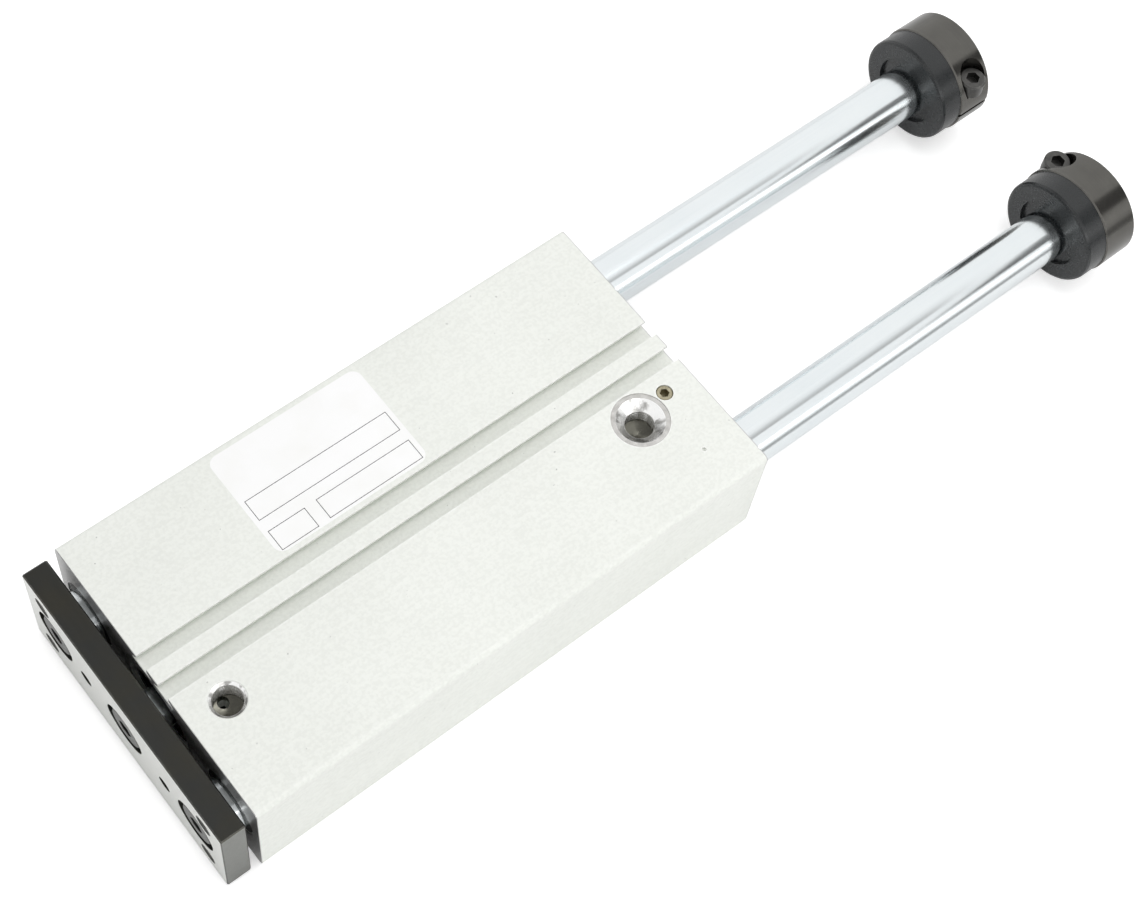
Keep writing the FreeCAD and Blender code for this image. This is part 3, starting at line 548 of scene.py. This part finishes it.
BRASS = (0.55, 0.51, 0.38, 1)
BRASS_TARNISHED = (0.25, 0.22, 0.14, 1)
BRASS_WORN = (0.82, 0.79, 0.64, 1)
TURNED_EDGE = 0.25 * MM
TURNED_ROUGHER = 1.45

# Turning marks: fine lines that run round an axis. The noise is read at the distance along the axis
# and the distance from it, so it is the same all the way round, on a bar's side and on its end.
turning, begin, end = new_group(
    "turning_marks",
    [("Centre", VECTOR, (0, 0, 0)), ("Along", VECTOR, (1, 0, 0)), ("Across", VECTOR, (0, 1, 1)),
     ("Lines", VALUE, 4000.0), ("Contrast", VALUE, 1.5)],
    [("Mask", VALUE)],
)
from_centre = vector_maths(turning, "SUBTRACT", here(turning), begin.outputs["Centre"])
along = vector_maths(turning, "DOT_PRODUCT", from_centre, begin.outputs["Along"])
across = vector_maths(turning, "MULTIPLY", from_centre, begin.outputs["Across"])
from_axis = vector_maths(turning, "LENGTH", across)
pair = put(turning, "ShaderNodeCombineXYZ", {0: along, 1: from_axis}).outputs[0]
lines = noise(turning, begin.outputs["Lines"], 2.0, pair)
lines = contrasted(turning, lines, begin.outputs["Contrast"])
finish_outputs(turning, end, {"Mask": lines})


def turned_metal(name, colour, dull, rough, lines, centre=(0, 0, 0), upright=False, patch=250.0,
                 wear=0.5, worn=(0.75, 0.74, 0.72, 1), metallic=1.0, marks=0.5, depth=0.004 * MM):
    """Metal turned or ground about one axis: lines round it, uneven tone, and rubbed edges."""
    made, tree, surface = new_finish(name, {"Metallic": metallic})
    ways = {"Along": (1, 0, 0), "Across": (0, 1, 1)}
    if upright:
        ways = {"Along": (0, 0, 1), "Across": (1, 1, 0)}
    tool = grouped(tree, turning, Centre=centre, Lines=lines, **ways)
    tone = grouped(tree, patches, Scale=patch, Fine_scale=patch * 9, Low=0.3, High=0.7)
    edges = grouped(tree, rubbed, Width=TURNED_EDGE, Amount=wear)
    by_tone = ranged(tree, tone.outputs["Mask"], 0, 1 - marks)
    dulled = maths(tree, ranged(tree, tool.outputs[0], 0, marks), by_tone)
    skin = blended(tree, edges.outputs[0], blended(tree, dulled, colour, dull), worn)
    height = maths(tree, tool.outputs[0], tone.outputs["Fine"])
    wire(tree, surface, Base_Color=skin, Normal=bumped(tree, height, depth),
         Roughness=ranged(tree, dulled, rough, rough * TURNED_ROUGHER))
    return made


plug_low, plug_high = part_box("passage_plug")
brass = turned_metal("tarnished_brass", BRASS, BRASS_TARNISHED, rough=0.24, lines=5000,
                     centre=tuple((plug_low + plug_high) / 2), upright=True, patch=900.0,
                     worn=BRASS_WORN)
dress(brass, "passage_plug")

# ---- rod gland, rear cap and retaining rings -----------------------------------------------------
# The gland and the cap are turned aluminium, slid into the bore and each held by a spring steel
# ring with a dark phosphate skin.

AXIS_HEIGHT = 21.0 * MM
BORE_AXIS = (0, 0, AXIS_HEIGHT)
TURNED_ALUMINIUM = (0.80, 0.81, 0.82, 1)
TURNED_SHADE = (0.60, 0.61, 0.62, 1)
TURNED_WORN = (0.92, 0.92, 0.92, 1)
PHOSPHATE = (0.12, 0.12, 0.125, 1)
PHOSPHATE_PALE = (0.20, 0.20, 0.20, 1)
PHOSPHATE_WORN = (0.5, 0.5, 0.5, 1)

aluminium = turned_metal("turned_aluminium", TURNED_ALUMINIUM, TURNED_SHADE, rough=0.26,
                         lines=3500, centre=BORE_AXIS, wear=0.35, worn=TURNED_WORN)
dress(aluminium, "rod_gland", "rear_cap")
phosphate = turned_metal("phosphated_steel", PHOSPHATE, PHOSPHATE_PALE, rough=0.42, lines=2000,
                         centre=BORE_AXIS, patch=600.0, wear=0.6, worn=PHOSPHATE_WORN)
dress(phosphate, "front_retaining_ring", "rear_retaining_ring")

# ---- seals, wipers and cushion washers -----------------------------------------------------------
# Moulded rubber rings, lightly greased: the wipers and seals round the rods, the O-rings and the
# washers that the piston lands on at each end of its stroke.

RUBBER = (0.026, 0.027, 0.027, 1)
RUBBER_BLOOM = (0.060, 0.061, 0.060, 1)
MOULDED_EDGE = 0.35 * MM
PIT_DEPTH = 0.012 * MM
BLOOM_ROUGHER = 1.35


def moulded_rubber(name, colour, bloom, rough, scale=300.0, pit_scale=1800.0, gloss=0.5):
    """Rubber from a mould: a fine pitted skin, with pale bloom in uneven patches."""
    made, tree, surface = new_finish(name, {"IOR": 1.5, "Specular IOR Level": gloss})
    tone = grouped(tree, patches, Scale=scale, Fine_scale=pit_scale, Low=0.35, High=0.75)
    edges = grouped(tree, rubbed, Width=MOULDED_EDGE, Amount=0.5)
    by_tone = ranged(tree, tone.outputs["Mask"], 0, 0.55)
    chalk = maths(tree, by_tone, ranged(tree, edges.outputs[0], 0, 0.45))
    pits = tone.outputs["Fine"]
    wire(tree, surface, Base_Color=blended(tree, chalk, colour, bloom),
         Roughness=ranged(tree, pits, rough, rough * BLOOM_ROUGHER, start=0.3, stop=0.7),
         Normal=bumped(tree, pits, PIT_DEPTH))
    return made


seal_rubber = moulded_rubber("greased_rubber", RUBBER, RUBBER_BLOOM, rough=0.34)
guide_wipers = [name for name in nodes if name.startswith("guide_wiper")]
dress(seal_rubber, "rod_wiper", "rod_seal", "front_cushion_washer", "rear_cushion_washer",
      "gland_o_ring", "rear_cap_o_ring", "piston_seal_front", "piston_seal_rear", *guide_wipers)

# ---- bearing bushes ------------------------------------------------------------------------------
# Sintered bronze, soaked in oil: two long bushes for each guide rod and one short one in the gland.
# The wipers hide them once the cylinder is put together.

BRONZE = (0.58, 0.40, 0.22, 1)
BRONZE_OILED = (0.30, 0.19, 0.10, 1)
BRONZE_WORN = (0.75, 0.56, 0.34, 1)

bronze = turned_metal("oiled_bronze", BRONZE, BRONZE_OILED, rough=0.36, lines=1500,
                      centre=BORE_AXIS, patch=1500.0, wear=0.3, worn=BRONZE_WORN, marks=0.2,
                      depth=0.008 * MM)
dress(bronze, "rod_bush", *[name for name in nodes if name.startswith("guide_bush")])

# ---- rating label --------------------------------------------------------------------------------
# White film with rounded corners, stuck on the port face beside the sensor grooves, with three
# ruled boxes that are left empty.

LABEL_LEFT, LABEL_RIGHT = -39.9 * MM, 10.3 * MM
LABEL_LOW, LABEL_HIGH = 9.5 * MM, 44.2 * MM
LABEL_CORNER = 3.0 * MM
LABEL_THICK, LABEL_SUNK = 0.05 * MM, 0.01 * MM
CORNER_POINTS = 10
LABEL_RULE = 0.20 * MM
FILM = (0.95, 0.95, 0.95, 1)
FILM_AGED = (0.92, 0.92, 0.905, 1)
FILM_ROUGH = (0.32, 0.44)
FILM_GRAIN_DEPTH = 0.003 * MM
INK = (0.04, 0.04, 0.04, 1)

# Each ruled box: its left, right, low and high sides in millimetres.
LABEL_BOXES = ((-38.35, 8.66, 21.1, 27.95), (-22.5, 8.66, 10.5, 17.15), (-38.35, -26.5, 10.3, 17.0))


def rounded_film(name, left, right, low, high, corner, bottom, thick):
    """Thin sheet with rounded corners. Its outline is four quarter circles, one per corner, joined
    by straight runs: corner centre + corner * (cos a, sin a), with a from 0 to a full turn. The
    outline stands at two heights, with a flat face on each."""
    quarter = np.linspace(0, math.pi / 2, CORNER_POINTS)
    angle = np.concatenate([quarter + k * math.pi / 2 for k in range(4)])
    left, right, low, high = left + corner, right - corner, low + corner, high - corner
    x = np.repeat([right, left, left, right], quarter.size) + corner * np.cos(angle)
    y = np.repeat([high, high, low, low], quarter.size) + corner * np.sin(angle)
    count = angle.size
    rims = [np.column_stack([x, y, np.full(count, z)]) for z in (bottom, bottom + thick)]
    index = np.arange(count)
    after = np.roll(index, -1)
    walls = np.column_stack([index, after, after + count, index + count]).tolist()
    faces = [index[::-1].tolist(), (index + count).tolist(), *walls]
    mesh = bpy.data.meshes.new(name)
    mesh.from_pydata(np.concatenate(rims).tolist(), [], faces)
    mesh.update()
    return shown(name, mesh)


# Ruled box: a line of the given width round an oblong, from how far outside the oblong a point is.
box_rule, begin, end = new_group(
    "ruled_box",
    [("Centre", VECTOR, (0, 0, 0)), ("Half size", VECTOR, (0.01, 0.01, 0)),
     ("Line", VALUE, 0.0002)],
    [("Mask", VALUE)],
)
shift = vector_maths(box_rule, "SUBTRACT", here(box_rule), begin.outputs["Centre"])
shift = vector_maths(box_rule, "ABSOLUTE", shift)
past = vector_maths(box_rule, "SUBTRACT", shift, begin.outputs["Half size"])
sides = put(box_rule, "ShaderNodeSeparateXYZ", {0: past})
furthest = maths(box_rule, sides.outputs["X"], sides.outputs["Y"], "MAXIMUM")
near = maths(box_rule, furthest, 0, "ABSOLUTE")
half_line = maths(box_rule, begin.outputs["Line"], 0.5, "MULTIPLY")
finish_outputs(box_rule, end, {"Mask": maths(box_rule, near, half_line, "LESS_THAN")})

film, tree, surface = new_finish(
    "label_film", {"IOR": 1.45, "Specular IOR Level": 0.35, "Coat Weight": 0.15})
tone = grouped(tree, patches, Scale=90.0, Fine_scale=3500.0, Low=0.4, High=0.75)
ink = 0.0
for left, right, low, high in LABEL_BOXES:
    middle = ((left + right) / 2 * MM, (low + high) / 2 * MM, 0)
    half = ((right - left) / 2 * MM, (high - low) / 2 * MM, 0)
    ruled = grouped(tree, box_rule, Centre=middle, Half_size=half, Line=LABEL_RULE)
    ink = maths(tree, ink, ruled.outputs[0], "MAXIMUM")
ink_worn = ranged(tree, tone.outputs["Fine"], 0.8, 1.0, start=0.3, stop=0.5)
printed = maths(tree, ink, ink_worn, "MULTIPLY")
aged = blended(tree, ranged(tree, tone.outputs["Mask"], 0, 1), FILM, FILM_AGED)
wire(tree, surface, Base_Color=blended(tree, printed, aged, INK),
     Roughness=ranged(tree, tone.outputs["Fine"], *FILM_ROUGH, start=0.3, stop=0.7),
     Normal=bumped(tree, tone.outputs["Fine"], FILM_GRAIN_DEPTH))
label = rounded_film("rating_label", LABEL_LEFT, LABEL_RIGHT, LABEL_LOW, LABEL_HIGH, LABEL_CORNER,
                     packed_high.z - LABEL_SUNK, LABEL_THICK)
label.data.materials.append(film)
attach(label, "housing")

# ---- piston --------------------------------------------------------------------------------------
# Inside the bore, on the end of the piston rod: a turned aluminium piston with two seals, a steel
# nut, and a plastic-bonded magnet ring that the sensors in the grooves feel.

MAGNET = (0.085, 0.085, 0.092, 1)
MAGNET_PALE = (0.14, 0.14, 0.145, 1)

dress(aluminium, "piston")
dress(phosphate, "piston_nut")
magnet = moulded_rubber("bonded_magnet", MAGNET, MAGNET_PALE, rough=0.45, pit_scale=2600.0,
                        gloss=0.35)
dress(magnet, "piston_magnet")

# ---- rods ----------------------------------------------------------------------------------------
# The piston rod and the two guide rods are steel, ground round and hard chromed: a cold bright
# skin with a trace of the grinding and of the oil left by the wipers.

CHROME = (0.860, 0.895, 0.905, 1)
CHROME_HAZED = (0.795, 0.845, 0.865, 1)
CHROME_ROUGH = (0.13, 0.21)
GRINDING_DEPTH = 0.0006 * MM


def ground_chrome(name, centre):
    """Chrome with grinding lines round the rod, long faint rub marks and a thin uneven oil haze."""
    made, tree, surface = new_finish(name, {"Metallic": 1.0})
    rings = grouped(tree, turning, Centre=centre, Lines=9000.0, Contrast=1.3)
    rubs = grouped(tree, streaks, Stretch=(18, 1400, 1400), Contrast=1.5)
    tone = grouped(tree, patches, Scale=55.0, Fine_scale=1200.0, Low=0.3, High=0.75)
    by_tone = ranged(tree, tone.outputs["Mask"], 0, 0.55)
    haze = maths(tree, ranged(tree, rubs.outputs[0], 0, 0.45), by_tone)
    height = maths(tree, rings.outputs[0], rubs.outputs[0])
    wire(tree, surface, Base_Color=blended(tree, haze, CHROME, CHROME_HAZED),
         Roughness=ranged(tree, haze, *CHROME_ROUGH), Normal=bumped(tree, height, GRINDING_DEPTH))
    return made


for name in ("guide_rod_left", "guide_rod_right", "piston_rod"):
    low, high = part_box(name)
    dress(ground_chrome(f"chrome_{name}", tuple((low + high) / 2)), name)

# ---- tool plate ----------------------------------------------------------------------------------
# Black oxided steel plate across the ends of the three rods, held by three low-headed screws and
# tapped M6 in four places. Its outer face is ground after blacking, so it is grey and bright; its
# colour is set lighter still than ground steel would be, a painted sheen.

OXIDE = (0.071, 0.072, 0.068, 1)
OXIDE_BROWN = (0.086, 0.080, 0.060, 1)
OXIDE_END_PAINTED_SHEEN = (0.20, 0.205, 0.19, 1)
OXIDE_RUBBED = (0.30, 0.30, 0.29, 1)
PLATE_ROUGH = (0.27, 0.40)
PLATE_GRAIN_DEPTH = 0.006 * MM
PLATE_SKIN = 0.06 * MM
GROUND_STEEL_WITH_PAINTED_SHEEN = (0.92, 0.93, 0.90, 1)
GROUND_SHADE = (0.74, 0.75, 0.72, 1)
GRINDER_Y, GRINDER_Z = 0.11, -0.05
SCREW = (0.075, 0.074, 0.072, 1)
SCREW_PALE = (0.12, 0.118, 0.112, 1)
SCREW_WORN = (0.32, 0.32, 0.31, 1)
PLATE_BOLT_Y = 37.5 * MM
PLATE_BOLT_RISE = 12.0 * MM
PLATE_MIDDLE = 19.7 * MM
PLATE_THREAD_START, PLATE_THREAD = 0.45 * MM, 7.2 * MM

plate_low, plate_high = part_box("tool_plate")
plate_finish, tree, surface = new_finish("oxided_plate", {"Metallic": 0.92})
draw = grouped(tree, streaks, Stretch=(900, 35, 900), Contrast=1.5)
tone = grouped(tree, patches, Scale=70.0, Fine_scale=1600.0, Low=0.42, High=0.72)
edges = grouped(tree, rubbed, Width=0.4 * MM, Amount=0.55)
place = put(tree, "ShaderNodeSeparateXYZ", {0: here(tree)})
black = blended(tree, ranged(tree, tone.outputs["Mask"], 0, 0.7), OXIDE, OXIDE_BROWN)
black = blended(tree, edges.outputs[0], black, OXIDE_RUBBED)
# Both end faces are painted lighter than the rest of the oxide: a painted sheen, not a different
# finish.
sideways = maths(tree, place.outputs["Y"], 0, "ABSOLUTE")
painted_sheen_ends = maths(tree, sideways, plate_high.y - PLATE_SKIN, "GREATER_THAN")
black = blended(tree, painted_sheen_ends, black, OXIDE_END_PAINTED_SHEEN)
sweep = grouped(tree, turning, Centre=(plate_low.x, GRINDER_Y, GRINDER_Z), Lines=1800.0,
                Contrast=1.6)
# The outer face: real grinding lines on a colour pushed lighter than ground steel, as a painted
# sheen.
ground = blended(tree, sweep.outputs[0], GROUND_STEEL_WITH_PAINTED_SHEEN, GROUND_SHADE)
outer_face = maths(tree, place.outputs["X"], plate_low.x + PLATE_SKIN, "LESS_THAN")
by_fine = ranged(tree, tone.outputs["Fine"], 0, 0.5)
uneven = maths(tree, ranged(tree, draw.outputs[0], 0, 0.5), by_fine)
height = maths(tree, draw.outputs[0], tone.outputs["Fine"])
wire(tree, surface, Base_Color=blended(tree, outer_face, black, ground),
     Roughness=ranged(tree, uneven, *PLATE_ROUGH), Normal=bumped(tree, height, PLATE_GRAIN_DEPTH))
dress(plate_finish, "tool_plate")

screw_oxide = turned_metal("oxided_screws", SCREW, SCREW_PALE, rough=0.27, lines=1500, patch=700.0,
                           wear=0.7, worn=SCREW_WORN, metallic=0.95, marks=0.2)
dress(screw_oxide, "plate_screws")

cut_steel = cut_metal("cut_steel", colour=(0.30, 0.29, 0.28, 1), dull=(0.15, 0.145, 0.14, 1),
                      rough=0.30, drag=(25, 500, 500))
for number, (side, level) in enumerate(CORNERS, start=1):
    mouth = (plate_low.x + PLATE_THREAD_START, PLATE_BOLT_Y * side,
             PLATE_MIDDLE + PLATE_BOLT_RISE * level)
    thread = thread_sleeve(f"plate_thread_{number}", mouth, (1, 0, 0), TAPPED_RADIUS, PLATE_THREAD,
                           METRIC_PITCH, METRIC_ROOT_GAP, METRIC_CREST)
    thread.data.materials.append(cut_steel)
    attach(thread, "carriage")

# ---- stop bumpers --------------------------------------------------------------------------------
# A thick rubber ring on each guide rod, in front of the collar, that would meet the body's rear
# face first if the collar were set to shorten the stroke. Its front has a shallow recess.

BUMPER = (0.010, 0.012, 0.013, 1)
BUMPER_BLOOM = (0.021, 0.023, 0.024, 1)

bumper_rubber = moulded_rubber("bumper_rubber", BUMPER, BUMPER_BLOOM, rough=0.25, scale=140.0,
                               pit_scale=1500.0, gloss=0.55)
dress(bumper_rubber, "stop_bumper_left", "stop_bumper_right")

# ---- stop collars --------------------------------------------------------------------------------
# One-piece clamp collars of black oxided steel at the rods' ends, turned, slit on the inner side
# and closed by a socket screw each.

COLLAR = (0.150, 0.146, 0.134, 1)
COLLAR_DARK = (0.105, 0.102, 0.095, 1)
COLLAR_WORN = (0.34, 0.33, 0.31, 1)
ROD_SPREAD = 33.0 * MM

for side, y in (("left", ROD_SPREAD), ("right", -ROD_SPREAD)):
    oxide = turned_metal(f"oxided_collar_{side}", COLLAR, COLLAR_DARK, rough=0.16, lines=2600,
                         centre=(0, y, AXIS_HEIGHT), patch=160.0, wear=0.8, worn=COLLAR_WORN,
                         metallic=0.95, marks=0.6, depth=0.003 * MM)
    dress(oxide, f"stop_collar_{side}")
dress(screw_oxide, "collar_screws")

# ---- closing -------------------------------------------------------------------------------------
# The box of all that is shown is found again once everything is added; the box of the imported
# solids was found at the start.

low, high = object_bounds()
